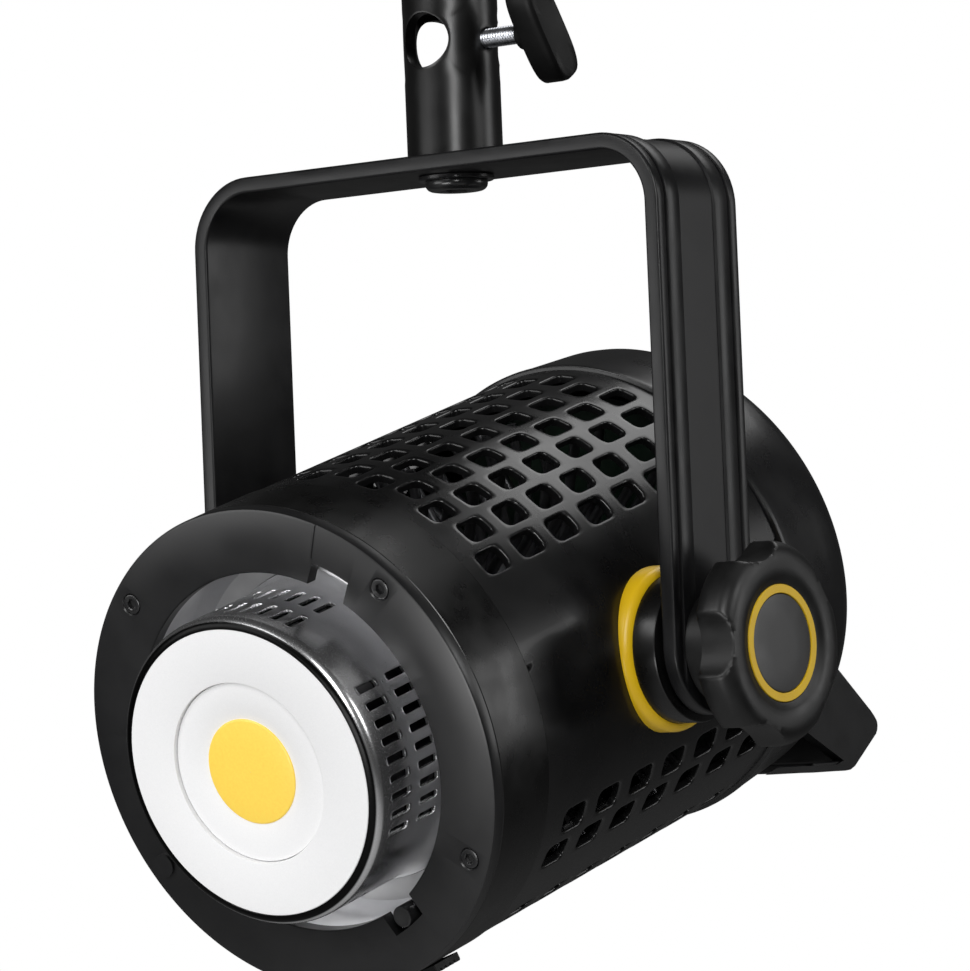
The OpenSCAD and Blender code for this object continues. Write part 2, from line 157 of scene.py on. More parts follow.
def new_finish(name, fixed):
    """A material with one Principled shader. fixed holds its plain socket values."""
    material = bpy.data.materials.new(name)
    material.use_nodes = True
    tree = material.node_tree
    shader = tree.nodes["Principled BSDF"]
    for key, value in fixed.items():
        shader.inputs[key].default_value = value
    start = Wire(tree, tree.nodes.new("ShaderNodeTexCoord").outputs["Object"])
    return material, shader, start


def feed(shader, start, **wires):
    for key, wire in wires.items():
        start.tree.links.new(wire.socket, shader.inputs[key.replace("_", " ")])


def grainy(start, heights, strength):
    """A normal from the sum of (grain in mm, height in mm) noises."""
    height = None
    for grain, amount in heights:
        layer = start.noise(grain) * (amount * MM)
        height = layer if height is None else height + layer
    return start.node("ShaderNodeBump", None, {"Strength": strength, "Height": height})


def painted(name, dark, light, rough, grain, height, coat=0.0, spread=0.12, patch=9.0, shine=0.5):
    """Paint or moulded plastic: two close tones in soft patches and a fine grain."""
    finish, shader, start = new_finish(name, {"Coat Weight": coat, "Coat Roughness": 0.08,
                                              "Specular IOR Level": shine})
    patches = start.noise(patch, 4.0).band(0.35, 0.65)
    fine = start.noise(grain, 2.0)
    feed(shader, start,
         Base_Color=(patches * 0.6 + fine * 0.4).blend(light, dark),
         Roughness=rough + (patches - 0.5) * spread,
         Normal=grainy(start, [(grain, height), (grain * 3.1, height * 0.8)], 1.0))
    return finish


class Shape:
    """Points and faces gathered for one piece, in millimetres."""

    def __init__(self):
        self.points, self.faces = [], []

    def skin(self, rings, closed=True, start=False, end=False):
        """Quads between rings of points, with optional flat ends."""
        base, n = len(self.points), len(rings[0])
        for ring in rings:
            self.points.extend(ring)
        for i in range(len(rings) - 1):
            for j in range(n if closed else n - 1):
                a, b = base + i * n + j, base + i * n + (j + 1) % n
                self.faces.append((a, b, b + n, a + n))
        if start:
            self.faces.append(tuple(base + j for j in reversed(range(n))))
        if end:
            last = base + (len(rings) - 1) * n
            self.faces.append(tuple(last + j for j in range(n)))
        return self

    def prism(self, outline, low, high, put):
        """An outline of (a, b) pairs carried from low to high; put(a, b, h) places it."""
        return self.skin([[put(a, b, h) for a, b in outline] for h in (low, high)],
                         start=True, end=True)

    def solid(self, name, where):
        mesh = bpy.data.meshes.new(name)
        mesh.from_pydata([where @ Vector(p) for p in self.points], [], self.faces)
        made = bpy.data.objects.new(name, mesh)
        bpy.context.scene.collection.objects.link(made)
        tidy = bmesh.new()
        tidy.from_mesh(mesh)
        bmesh.ops.remove_doubles(tidy, verts=tidy.verts, dist=2e-6)
        bmesh.ops.recalc_face_normals(tidy, faces=tidy.faces)
        tidy.to_mesh(mesh)
        tidy.free()
        return made

    def make(self, name, where, finish, body, slot, replaces=(), sharp=32, bevel=0.0, cuts=()):
        """The piece: cuts are taken away, edges sharper than sharp degrees are shaded sharp, and
        rounded when bevel is given.
        """
        made = self.solid(name, where)
        for cut in cuts:
            tool = cut.solid("cutter", where)
            step = made.modifiers.new("cut", "BOOLEAN")
            step.object, step.solver = tool, "EXACT"
            whole = made.evaluated_get(bpy.context.evaluated_depsgraph_get())
            made.data = bpy.data.meshes.new_from_object(whole)
            made.modifiers.clear()
            bpy.data.objects.remove(tool)
        mesh = made.data
        tidy = bmesh.new()
        tidy.from_mesh(mesh)
        bmesh.ops.remove_doubles(tidy, verts=tidy.verts, dist=2e-6)
        bmesh.ops.recalc_face_normals(tidy, faces=tidy.faces)
        tidy.to_mesh(mesh)
        tidy.free()
        mesh.shade_smooth()
        mesh.set_sharp_from_angle(angle=math.radians(sharp))
        mesh.materials.append(finish)
        if bevel:
            soften = made.modifiers.new("soft_edges", "BEVEL")
            soften.width = bevel * MM
            soften.segments = 3
            soften.limit_method = "ANGLE"
            soften.angle_limit = math.radians(sharp)
            soften.harden_normals = True
        if replaces:
            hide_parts(*replaces)
        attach(made, body)
        return made


def circle(n, radius, put):
    """n points round a circle; radius is a number or a function of the angle."""
    turns = [2 * math.pi * i / n for i in range(n)]
    r = radius if callable(radius) else (lambda t: radius)
    return [put(r(t) * math.cos(t), r(t) * math.sin(t)) for t in turns]


def hexagon(flats):
    """Radius of a hexagon, flats apart across, for circle()."""
    def r(t):
        return flats / 2 / math.cos((t + math.pi / 6) % (math.pi / 3) - math.pi / 6)
    return r


def fillet(x0, y0, x1, y1, cx, cy, steps=5):
    """Points of a quarter round from (x0, y0) to (x1, y1), bulging to corner (cx, cy)."""
    points = []
    for i in range(steps + 1):
        t = math.pi / 2 * i / steps
        points.append((x0 + (cx - x0) * math.sin(t) + (x1 - cx) * (1 - math.cos(t)),
                       y0 + (cy - y0) * math.sin(t) + (y1 - cy) * (1 - math.cos(t))))
    return points


def wall_tile(shape, surface, rect, centre, hole, layers, side):
    """A rectangle of wall round one hole. surface(u, v, depth) places a point;
    hole(angle, grow, depth) gives the hole's edge from its centre; layers are
    (share of the way out to the rectangle, grow, depth)."""
    u0, u1, v0, v1 = rect
    rim = [(u0 + (u1 - u0) * i / side, v0) for i in range(side)]
    rim += [(u1, v0 + (v1 - v0) * i / side) for i in range(side)]
    rim += [(u1 + (u0 - u1) * i / side, v1) for i in range(side)]
    rim += [(u0, v1 + (v0 - v1) * i / side) for i in range(side)]
    cu, cv = centre
    scale = centre_scale(surface, cu, cv)
    rings = []
    for share, grow, depth in layers:
        ring = []
        for u, v in rim:
            du, dv = hole(math.atan2((v - cv) * scale[1], (u - cu) * scale[0]), grow, depth)
            ring.append(surface(cu + du + share * (u - cu - du), cv + dv + share * (v - cv - dv),
                                depth))
        rings.append(ring)
    shape.skin(rings)


def centre_scale(surface, u, v):
    """Millimetres per unit of u and of v at a point of a surface."""
    here = Vector(surface(u, v, 0))
    return ((Vector(surface(u + 0.01, v, 0)) - here).length * 100,
            (Vector(surface(u, v + 0.01, 0)) - here).length * 100)


TUBE_R, TUBE_LEN, BORE_R, RELIEF_R = 14.5, 60.0, 8.15, 10.8
CROSS_Z, TILE_TOP, TILE_LOW = -24.8, -15.0, -37.0


def tube_point(u, v, depth):
    return ((TUBE_R - depth) * math.cos(u), (TUBE_R - depth) * math.sin(u), v)


def drilled(radius):
    """Edge of a straight hole of this radius drilled into the tube."""
    def edge(angle, grow, depth):
        r = radius + grow
        return (math.asin(max(-1, min(1, r * math.cos(angle) / (TUBE_R - depth)))),
                r * math.sin(angle))
    return edge


tube = Shape()
wall = TUBE_R - RELIEF_R
through = [(1, 0, 0), (0.5, 0.5, 0), (0.15, 0.5, 0), (0, 0.45, 0), (0, 0.12, 0.12), (0, 0, 0.45),
           (0, 0, wall), (0.5, 0, wall), (1, 0, wall)]
rad = math.radians
tiles = [(-149, -31, -90, 8.2), (-31, 93, 0, 3.25), (93, 211, 151, 8.5)]
for a0, a1, mid, radius in tiles:
    wall_tile(tube, tube_point, (rad(a0), rad(a1), TILE_LOW, TILE_TOP), (rad(mid), CROSS_Z),
              drilled(radius), through, 24)
turns = [rad(a0 + (a1 - a0) * i / 24) for a0, a1, _, _ in tiles for i in range(24)]


def tube_ring(r, z):
    return [(r * math.cos(t), r * math.sin(t), z) for t in turns]


tube.skin([tube_ring(r, z) for r, z in [(TUBE_R, TILE_TOP), (TUBE_R, -0.8)]
           + fillet(TUBE_R, -0.8, TUBE_R - 0.8, 0, TUBE_R, 0)
           + [(BORE_R + 1, 0), (BORE_R, -1), (BORE_R, TILE_TOP), (RELIEF_R, TILE_TOP)]])
tube.skin([tube_ring(r, z) for r, z in [(TUBE_R, TILE_LOW), (TUBE_R, -TUBE_LEN + 0.6),
           (TUBE_R - 0.6, -TUBE_LEN)]])
tube.skin([tube_ring(r, z) for r, z in [(RELIEF_R, TILE_LOW), (BORE_R, TILE_LOW),
           (BORE_R, -52), (4, -52)]])
enamel = painted("gloss_black_enamel", (0.0025, 0.0025, 0.0025), (0.004, 0.004, 0.004), 0.3, 0.45,
                 0.075, spread=0.04)
tube.make("spigot_tube_enamelled", AT_TUBE, enamel, "yoke_and_tube", "gloss_black_paint",
          ["spigot_tube"], sharp=40)

# The bolt is a black button head with a hexagon socket, on a plain zinc washer; the washer takes
# the black oxide finish here.
black_oxide = painted("black_oxide_steel", (0.010, 0.010, 0.011), (0.02, 0.02, 0.02), 0.3, 0.25,
                      0.004, coat=0.3, spread=0.15)
zinc, zinc_shader, zinc_start = new_finish("zinc_plate", {"Metallic": 1.0})
zinc_cloud = zinc_start.noise(2.5, 4.0)
feed(zinc_shader, zinc_start,
     Base_Color=zinc_cloud.blend((0.72, 0.74, 0.78), (0.42, 0.43, 0.46)),
     Roughness=zinc_cloud * 0.2 + 0.2,
     Normal=grainy(zinc_start, [(0.3, 0.006)], 1.0))
UNDER_BAR = -65.0


def down(z):
    return lambda x, y: (x, y, UNDER_BAR + z)


head = Shape()
head.skin([circle(96, r, down(z)) for r, z in
           [(4.2, -1.7), (9.4, -1.7), (9.5, -2.0), (9.5, -2.7)]
           + fillet(9.5, -2.7, 7.4, -4.7, 9.4, -4.6)]
          + [circle(96, 4.9, down(-4.7)), circle(96, hexagon(8.2), down(-4.4)),
             circle(96, hexagon(8), down(-2.7)), circle(96, 0.2, down(-2.5))], end=True)
head.make("tube_bolt_head", AT_TUBE, black_oxide, "yoke_and_tube", "black_steel", ["tube_bolt"])
washer = Shape()
washer.skin([circle(72, r, down(z)) for r, z in [
    (4.2, -0.1), (11.2, -0.1), (11.5, -0.4), (11.5, -1.3), (11.2, -1.6), (4.2, -1.6), (4.2, -0.1)]])
washer.make("tube_bolt_washer", AT_TUBE, black_oxide, "yoke_and_tube", "zinc_steel",
            ["tube_washer"])

# ---- Spigot clamp --------------------------------------------------------------------
# An M6 zinc screw in the tube's side with a moulded black wing on it. The loose brass pad
# at its tip presses on the spigot without turning.
def along_clamp(x):
    return lambda y, z: (x, y, CROSS_Z + z)


screw, pitch = Shape(), 1.0
ring_list = []
for k in range(int(15.6 / 0.125) + 1):
    x = 11.75 + k * 0.125
    ring_list.append(circle(24, lambda t, x=x: 2.62 + 0.36 * (
        0.5 + 0.5 * math.cos(2 * math.pi * (x / pitch) - t)), along_clamp(x)))
screw.skin(ring_list, start=True, end=True)
screw.make("clamp_screw_threaded", AT_TUBE, zinc, "clamp_turner", "zinc_steel", ["clamp_screw"],
           sharp=60)

brass, brass_shader, brass_start = new_finish("turned_brass", {"Metallic": 1.0})
brass_cloud = brass_start.noise(1.6, 3.0)
feed(brass_shader, brass_start,
     Base_Color=brass_cloud.blend((0.86, 0.66, 0.32), (0.62, 0.42, 0.16)),
     Roughness=brass_cloud * 0.2 + 0.22,
     Normal=grainy(brass_start, [(0.3, 0.004)], 1.0))
pad = Shape()
pad.skin([circle(40, r, along_clamp(x)) for r, x in
          [(0.1, 8.5), (2.3, 8.5), (2.9, 9.1), (2.9, 11.3), (2.7, 11.45), (0.1, 11.45)]],
         start=True, end=True)
pad.make("clamp_pad_turned", AT_TUBE, brass, "clamp_pad", "brass", ["clamp_pad"])

moulded = painted("moulded_black", (0.0015, 0.0015, 0.0015), (0.003, 0.003, 0.003), 0.45, 0.5, 0.03,
                  spread=0.1, shine=0.25)
WING_LEAN = rad(34)


def wing_point(x, a, b):
    """a runs across the wing, b down its length."""
    return (x, a * math.cos(WING_LEAN) + b * math.sin(WING_LEAN),
            CROSS_Z + a * math.sin(WING_LEAN) - b * math.cos(WING_LEAN))


def wing_radius(t, long, wide):
    """Radius of a squared-off oval, long by wide from its middle."""
    square = 3.4
    return 1 / (abs(math.cos(t) / wide) ** square
                + abs(math.sin(t) / long) ** square) ** (1 / square)


wing = Shape()
wing.skin([[wing_point(x, wing_radius(t, 16.4 - cut, 6.4 - cut) * math.cos(t),
                       wing_radius(t, 16.4 - cut, 6.4 - cut) * math.sin(t))
            for t in [2 * math.pi * i / 96 for i in range(96)]]
           for x, cut in [(29.6, 4.5), (29.7, 1.4), (30.2, 0.5), (31.2, 0.0), (37.0, 0.0),
                          (38.4, 0.15), (39.1, 0.6), (39.5, 1.3), (39.4, 3.5)]],
          start=True, end=True)
wing.skin([circle(64, r, along_clamp(x)) for r, x in
           [(3.1, 27.5), (4.6, 27.5), (5.0, 27.8), (5.6, 29.9), (6.0, 31.0)]], start=True, end=True)
wing.make("clamp_wing_moulded", AT_TUBE, moulded, "clamp_turner", "black_plastic", ["clamp_wing"])

# ---- Yoke ----------------------------------------------------------------------------
# One bent strap of extruded aluminium, grooved along its outer face, in finely textured
# black paint. The tube's bolt goes through its crossbar and the tilt studs through its arms.
AT_TILT = Matrix.Translation((0, 0, -0.211)) @ Matrix.Scale(MM, 4)
HALF, STRAP_W, STRAP_T, RISE, CORNER = 89.2, 39.7, 5.0, 151.0, 21.5
EDGE = 0.9

# the section, as (distance in from the strap's edge or None, y, depth below the outer face)
arc = fillet(0, EDGE, EDGE, 0, 0, 0, 4)
section = [(e, None, d) for e, d in arc]
for y, d in [(-16.75, 0), (-16.5, 0.1), (-16.35, 0.4), (-16.25, 0.8), (-15.1, 0.8), (-15, 0.4),
             (-14.85, 0.1), (-14.6, 0), (-9.1, 0), (-8.85, 0.1), (-8.7, 0.4), (-8.5, 0.8)]:
    section.append((None, y, d))
section += [(None, -y, d) for _, y, d in reversed(section[len(arc):])]
section += [(-e - 1e-9, None, d) for e, _, d in reversed(section[:len(arc)])]
section += [(-e - 1e-9, None, STRAP_T - d) for e, d in arc]
section += [(e, None, STRAP_T - d) for e, d in reversed(arc)]


def strap_ring(origin, out, drop=0.0):
    """The section at a point of the path. drop, in radians, runs round the rounded end."""
    ring, half = [], STRAP_W / 2
    for e, y, d in section:
        inset = EDGE if e is None else abs(e)
        reach = (half - inset) * math.cos(drop)
        if e is not None:
            y = -reach if e >= 0 else reach
        ring.append((origin[0] - out[0] * d, max(-reach, min(reach, y)),
                     origin[1] - out[1] * d - (half - inset) * math.sin(drop)))
    return ring


yoke = Shape()
turning = [math.pi / 2 * i / 18 for i in range(19)]
path = [((HALF, 0), (1, 0), t) for t in reversed(turning)]
path += [((HALF, RISE - CORNER), (1, 0), 0)]
path += [((HALF - CORNER + CORNER * math.cos(t), RISE - CORNER + CORNER * math.sin(t)),
          (math.cos(t), math.sin(t)), 0) for t in turning[1:]]
path += [((-x, z), (-nx, nz), t) for (x, z), (nx, nz), t in reversed(path)]
yoke.skin([strap_ring(*step) for step in path])
stud_holes = [Shape().skin([circle(48, 4.1, lambda a, b, x=s * x: (x, a, b)) for x in (80, 95)],
                           start=True, end=True) for s in (-1, 1)]
bolt_hole = Shape().skin([circle(48, 4.1, lambda a, b, z=z: (a, b, z))
                          for z in (RISE - 9, RISE + 5)], start=True, end=True)
textured = painted("textured_black_paint", (0.004, 0.004, 0.0045), (0.011, 0.011, 0.0115),
                   0.34, 0.6, 0.22, spread=0.08, patch=14, shine=0.36)
yoke.make("yoke_strap", AT_TILT, textured, "yoke_and_tube", "textured_black_paint", ["yoke"],
          sharp=24, cuts=stud_holes + [bolt_hole])

# ---- Tilt pivots ---------------------------------------------------------------------
# On each side a yellow anodised ring seats on the casing, a black hub stands between it and
# the yoke arm, and a zinc stud screwed into the casing carries the friction washer and knob.
AT_HEAD = (Matrix.Translation((0, 0, -0.211)) @ Matrix.Rotation(math.radians(16.3), 4, "X")
           @ Matrix.Scale(MM, 4))
RING_R, HUB_R, RING_X, HUB_X, STUD_HOLE = 24.5, 22.0, 74.6, 83.2, 4.15


def dress(node, finish):
    """A CAD piece keeps its own mesh and takes a finish."""
    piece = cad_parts[node]
    piece.data.materials.clear()
    piece.data.materials.append(finish)


def saddle(r, theta):
    """How far out the casing lies, r from the tilt axis at angle theta."""
    return math.sqrt(72.72 ** 2 - (r * math.sin(theta)) ** 2)


def across(s):
    """Points in (x, y, z) from a distance out from the middle, on side s."""
    return lambda x: lambda a, b: (s * x, a, b)


yellow, yellow_shader, yellow_start = new_finish("yellow_anodised", {
    "Metallic": 0.0, "Coat Weight": 0.25, "Coat Roughness": 0.3})
yellow_cloud = yellow_start.noise(3.0, 3.0)
feed(yellow_shader, yellow_start,
     Base_Color=yellow_cloud.blend((1.0, 0.66, 0.012), (1.0, 0.60, 0.008)),
     Roughness=yellow_cloud * 0.14 + 0.3,
     Normal=grainy(yellow_start, [(0.3, 0.003)], 1.0))
satin = painted("satin_black", (0.0015, 0.0015, 0.0015), (0.003, 0.003, 0.003), 0.3, 0.4, 0.006,
                spread=0.1)
nylon = painted("natural_nylon", (0.50, 0.47, 0.40), (0.62, 0.59, 0.52), 0.5, 0.6, 0.006)
for side_name, s in [("right", 1), ("left", -1)]:
    at = across(s)
    pivot_ring = Shape()
    n = 128
    turns = [2 * math.pi * i / n for i in range(n)]
    backs = [[(s * (saddle(r, t)), r * math.cos(t), r * math.sin(t)) for t in turns]
             for r in (STUD_HOLE, 10, 16, 21, RING_R)]
    front = [circle(n, r, at(x)) for r, x in [
        (RING_R, 73.1), (24.3, 73.7), (23.8, 74.35), (23.1, 74.9), (22.4, 75.25), (22.1, 75.3),
        (HUB_R + 0.05, RING_X), (12, RING_X), (STUD_HOLE, RING_X)]]
    pivot_ring.skin(backs + front + [backs[0]])
    pivot_ring.make("pivot_ring_" + side_name + "_turned", AT_HEAD, yellow, "head",
                    "yellow_anodised", ["pivot_ring_" + side_name])
    hub = Shape().skin([circle(96, r, at(x)) for r, x in [
        (STUD_HOLE, 74.7), (21.7, 74.7), (HUB_R, 75.0), (HUB_R, 82.4), (21.8, 82.95),
        (21.3, HUB_X), (STUD_HOLE, HUB_X), (STUD_HOLE, 74.7)]])
    hub.make("pivot_hub_" + side_name + "_turned", AT_HEAD, satin, "head", "satin_black_metal",
             ["pivot_hub_" + side_name])
    dress("friction_washer_" + side_name, nylon)
    dress("tilt_stud_" + side_name, zinc)

# ---- Tilt knobs ----------------------------------------------------------------------
# Five-lobed knobs moulded in black, screwed on the studs to lock the tilt. Each has a thin
# yellow ring let into the dished face, with a plain grey disc inside the ring.
KNOB_R, KNOB_BACK = 29.75, 102.3


FLUTE_AT, FLUTE_R, FLUTE_EDGE = 41.3, 16.0, 0.8


def lobed(reach):
    """Radius of the outline of this reach, with five flutes cut in it and their edges rounded."""
    def r(t):
        d = (t - math.pi + math.pi / 5) % (2 * math.pi / 5) - math.pi / 5
        inside = FLUTE_R ** 2 - (FLUTE_AT * math.sin(d)) ** 2
        flute = FLUTE_AT * math.cos(d) - math.sqrt(inside) if inside > 0 else 60.0
        h = max(0.0, min(1.0, 0.5 + 0.5 * (flute - reach) / FLUTE_EDGE))
        return flute + (reach - flute) * h - FLUTE_EDGE * h * (1 - h)
    return r


knob_black = painted("knob_black", (0.003, 0.003, 0.003), (0.007, 0.007, 0.007), 0.4, 0.45, 0.04,
                     spread=0.1)
print_yellow = painted("ring_yellow", (0.80, 0.50, 0.012), (0.92, 0.60, 0.02), 0.38, 0.5, 0.004)
badge_grey = painted("badge_grey", (0.035, 0.035, 0.036), (0.048, 0.048, 0.048), 0.36, 0.4, 0.005)
for side_name, s in [("right", 1), ("left", -1)]:
    at = across(s)
    knob = Shape()
    rows = [circle(360, r, at(x)) for r, x in [
        (4.1, 90.1), (16.6, 90.1), (17, 90.5), (17, KNOB_BACK)]]
    rows += [circle(360, lobed(reach), at(x)) for reach, x in [
        (20, KNOB_BACK), (28.3, KNOB_BACK), (29.3, KNOB_BACK + 0.3), (KNOB_R, KNOB_BACK + 1.2),
        (KNOB_R, 106), (KNOB_R, 109.2),
        (29.6, 110.1), (29.3, 111), (28.7, 111.9), (27.9, 112.7), (26.9, 113.3), (25.6, 113.75),
        (24, 113.9), (22, 113.9), (20.4, 113.75), (19.2, 113.35), (18.2, 112.9)]]
    rows += [circle(360, r, at(x)) for r, x in [
        (17.25, 112.7), (17.1, 112.5), (17.1, 111.5), (14.2, 111.5), (4.1, 111.5), (4.1, 90.1)]]
    knob.skin(rows)
    body = "knob_" + side_name
    knob.make("tilt_knob_" + side_name + "_moulded", AT_TILT, knob_black, body, "black_plastic",
              ["tilt_knob_" + side_name])
    trim = Shape().skin([circle(128, r, at(x)) for r, x in [
        (17, 111.6), (17, 112.8), (16.85, 112.95), (14.6, 112.95), (14.45, 112.8), (14.45, 111.6),
        (17, 111.6)]])
    trim.make("knob_ring_" + side_name + "_let_in", AT_HEAD, print_yellow, body, "yellow_ink",
              ["knob_ring_" + side_name])
    badge = Shape().skin([circle(96, r, at(x)) for r, x in [
        (0.1, 111.6), (14.3, 111.6), (14.3, 112.45), (14.1, 112.68), (13.7, 112.75), (7, 112.8),
        (0.1, 112.82)]], start=True, end=True)
    badge.make("knob_badge_" + side_name + "_plain", AT_HEAD, badge_grey, body, "grey_badge",
               ["knob_badge_" + side_name])

# ---- Front housing -------------------------------------------------------------------
# A short painted metal band between the face plate and the grille, with a slot low on the right
# for the lock's slider. The four posts for the plate's screws are not drawn.
def around(r, angle, y):
    return (r * math.cos(angle), y, r * math.sin(angle))


def lathe(shape, points, n=192, start=0.0, end=360.0):
    """Turns (radius, y) points about the head's axis, over an arc in degrees."""
    full = abs(end - start - 360) < 1e-6
    angles = [rad(start + (end - start) * i / n) for i in range(n if full else n + 1)]
    return shape.skin([[around(r, a, y) for a in angles] for r, y in points], closed=full)


HOUSE_R, WALL, FACE_Y, SEAM_Y = 73.0, 2.4, -92.3, -65.5
SLIDER_A, CARRIER_A, LOCK_A = -72.0, -66.0, -60.0


def house_point(u, v, depth):
    return around(HOUSE_R - depth, u, v)


def slot_edge(wide, long, radius):
    """Edge of a rounded rectangle, wide across u and long along v, in mm."""
    def edge(angle, grow, depth):
        w, h = wide / 2 + grow, long / 2 + grow
        c, s = abs(math.cos(angle)), abs(math.sin(angle))
        k = min(radius + grow, w, h)
        flat = min(w / c if c > 1e-9 else 1e9, h / s if s > 1e-9 else 1e9)
        x, y = flat * c, flat * s
        if x > w - k and y > h - k:
            cx, cy = w - k, h - k
            b = cx * c + cy * s
            flat = b + math.sqrt(max(0, b * b - (cx * cx + cy * cy - k * k)))
        return (flat * math.cos(angle) / (HOUSE_R - depth), flat * math.sin(angle))
    return edge


housing = Shape()
front_y, rear_y = FACE_Y + 4.15, SEAM_Y - 0.15
v0, v1 = -83.5, -66.4
a0, a1 = SLIDER_A - 6, SLIDER_A + 6
wall_tile(housing, house_point, (rad(a0), rad(a1), v0, v1), (rad(SLIDER_A), -74.9),
          slot_edge(8.4, 13.6, 1.0), [(1, 0, 0), (0.5, 0.3, 0), (0, 0.25, 0), (0, 0, 0.25),
                                      (0, 0, WALL), (0.5, 0, WALL), (1, 0, WALL)], 12)
ends = [(HOUSE_R, v1), (HOUSE_R, rear_y - 0.3), (HOUSE_R - 0.3, rear_y), (61, rear_y),
        (61, SEAM_Y - 3), (HOUSE_R - WALL, SEAM_Y - 3), (HOUSE_R - WALL, v1)]
fronts = [(HOUSE_R - WALL, v0), (HOUSE_R - WALL, front_y), (HOUSE_R - 0.3, front_y),
          (HOUSE_R, front_y + 0.3), (HOUSE_R, v0)]
lathe(housing, ends, 12, a0, a1)
lathe(housing, fronts, 12, a0, a1)
lathe(housing, fronts + ends + fronts[:1], 348, a1, a0 + 360)
housing.make("front_housing_band", AT_HEAD, satin, "head", "satin_black_metal",
             ["front_housing"], sharp=30)

# ---- Face plate and its screws -------------------------------------------------------
# A flat black ring on the front, notched three times for a lamp accessory's lugs, with a fine
# index line by the top notch. Four sunk socket screws fix it to the housing's posts.
plate = Shape()
THROAT_R, SCREW_R, NOTCH_R = 54.0, 66.2, 61.0
plate_profile = [(THROAT_R, FACE_Y + 0.35), (THROAT_R + 0.35, FACE_Y), (HOUSE_R - 0.9, FACE_Y),
                 (HOUSE_R - 0.3, FACE_Y + 0.25), (HOUSE_R, FACE_Y + 0.9), (HOUSE_R, FACE_Y + 4),
                 (THROAT_R, FACE_Y + 4), (THROAT_R, FACE_Y + 0.35)]
lathe(plate, plate_profile, 240)


def placed(angle, r=0.0):
    """Puts points given as (out from the axis, round it, along it) at an angle in degrees."""
    c, s = math.cos(rad(angle)), math.sin(rad(angle))
    return lambda out, sideways, y: ((r + out) * c - sideways * s, y, (r + out) * s + sideways * c)


def block(put, lo, hi):
    """A plain box between two corners, for cutting."""
    loop = [(lo[0], lo[1]), (hi[0], lo[1]), (hi[0], hi[1]), (lo[0], hi[1])]
    return Shape().prism(loop, lo[2], hi[2], put)


plate_cuts = []
for angle in (60, 180, -60):
    put = placed(angle)
    arc_pts = [(NOTCH_R * math.cos(t), NOTCH_R * math.sin(t))
               for t in [math.asin(6.6 / NOTCH_R) * (i / 6 - 1) for i in range(13)]]
    outline = [(50, -6.6)] + arc_pts + [(50, 6.6)]
    plate_cuts.append(Shape().prism(outline, FACE_Y - 2, FACE_Y + 6, put))
for angle in (45, 135, -30, -150):
    put = placed(angle, SCREW_R)
    plate_cuts.append(Shape().skin([circle(48, r, lambda a, b, y=y: put(a, b, y)) for r, y in [
        (3.5, FACE_Y - 1), (3.5, FACE_Y), (3.15, FACE_Y + 0.35), (3.15, FACE_Y + 2),
        (1.7, FACE_Y + 2),
        (1.7, FACE_Y + 6)]], start=True, end=True))
plate_cuts.append(block(placed(66.5), (NOTCH_R + 1.2, -0.22, FACE_Y - 1),
                        (HOUSE_R + 1, 0.22, FACE_Y + 0.25)))
plate_black = painted("face_plate_black", (0.008, 0.008, 0.0085), (0.014, 0.014, 0.0145), 0.32, 0.5,
                      0.11, spread=0.06, patch=20)
plate.make("face_plate_ring", AT_HEAD, plate_black, "head", "face_plate_black", ["face_plate"],
           sharp=28, cuts=plate_cuts, bevel=0.22)
screws = Shape()
for angle in (45, 135, -30, -150):
    put = placed(angle, SCREW_R)
    screws.skin([circle(48, r, lambda a, b, y=y: put(a, b, y)) for r, y in [
        (0.1, FACE_Y + 12), (1.2, FACE_Y + 12), (1.5, FACE_Y + 11.6), (1.5, FACE_Y + 1.95),
        (2.7, FACE_Y + 1.95),
        (3.0, FACE_Y + 1.7), (3.0, FACE_Y + 0.5), (2.85, FACE_Y + 0.2), (2.5, FACE_Y + 0.1),
        (1.75, FACE_Y + 0.1)]]
        + [circle(48, hexagon(2.85), lambda a, b, y=y: put(a, b, y))
           for y in (FACE_Y + 0.3, FACE_Y + 1.5)]
        + [circle(48, 0.1, lambda a, b: put(a, b, FACE_Y + 1.6))], start=True, end=True)
screws.make("plate_screws_sunk", AT_HEAD, black_oxide, "head", "black_steel", ["plate_screws"])

# ---- Throat liner --------------------------------------------------------------------
# A spun aluminium liner, bright inside, that the lamp shows through. It is open low on the right
# to clear the lock, coned down to the lamp's base, and seated inside the housing.
silver, silver_shader, silver_start = new_finish("bright_aluminium", {"Metallic": 1.0})
silver_cloud = silver_start.noise(5.0, 3.0)
silver_fine = silver_start.noise(0.35, 2.0)
feed(silver_shader, silver_start,
     Base_Color=silver_cloud.blend((0.90, 0.90, 0.91), (0.78, 0.78, 0.79)),
     Roughness=silver_cloud * 0.06 + silver_fine * 0.06 + 0.26,
     Normal=grainy(silver_start, [(0.35, 0.004)], 1.0))
liner = Shape()
base = [(60.4, -70.3), (60.4, -62.2), (60.2, -62), (48.2, -62), (48.2, -64), (54.2, -64),
        (54.6, -64.1), (57.2, -69.6), (57.4, -70.3)]
lip = [(57.4, -70.3), (57.4, -87.9), (57.6, -88.1), (60.2, -88.1), (60.4, -87.9), (60.4, -70.3)]
gap_lo, gap_hi = CARRIER_A - 14.6, CARRIER_A + 14.6
lathe(liner, base + lip, 220, gap_hi, gap_lo + 360)
lathe(liner, base + base[:1], 20, gap_lo, gap_hi)
for angle in (rad(gap_lo), rad(gap_hi)):
    liner.skin([[around(r, angle, y) for r, y in ((57.4, -88.0), (60.4, -88.0))],
                [around(r, angle, y) for r, y in ((57.4, -70.3), (60.4, -70.3))]], closed=False)
liner.make("throat_liner_spun", AT_HEAD, silver, "head", "polished_aluminium", ["throat_liner"],
           sharp=36)

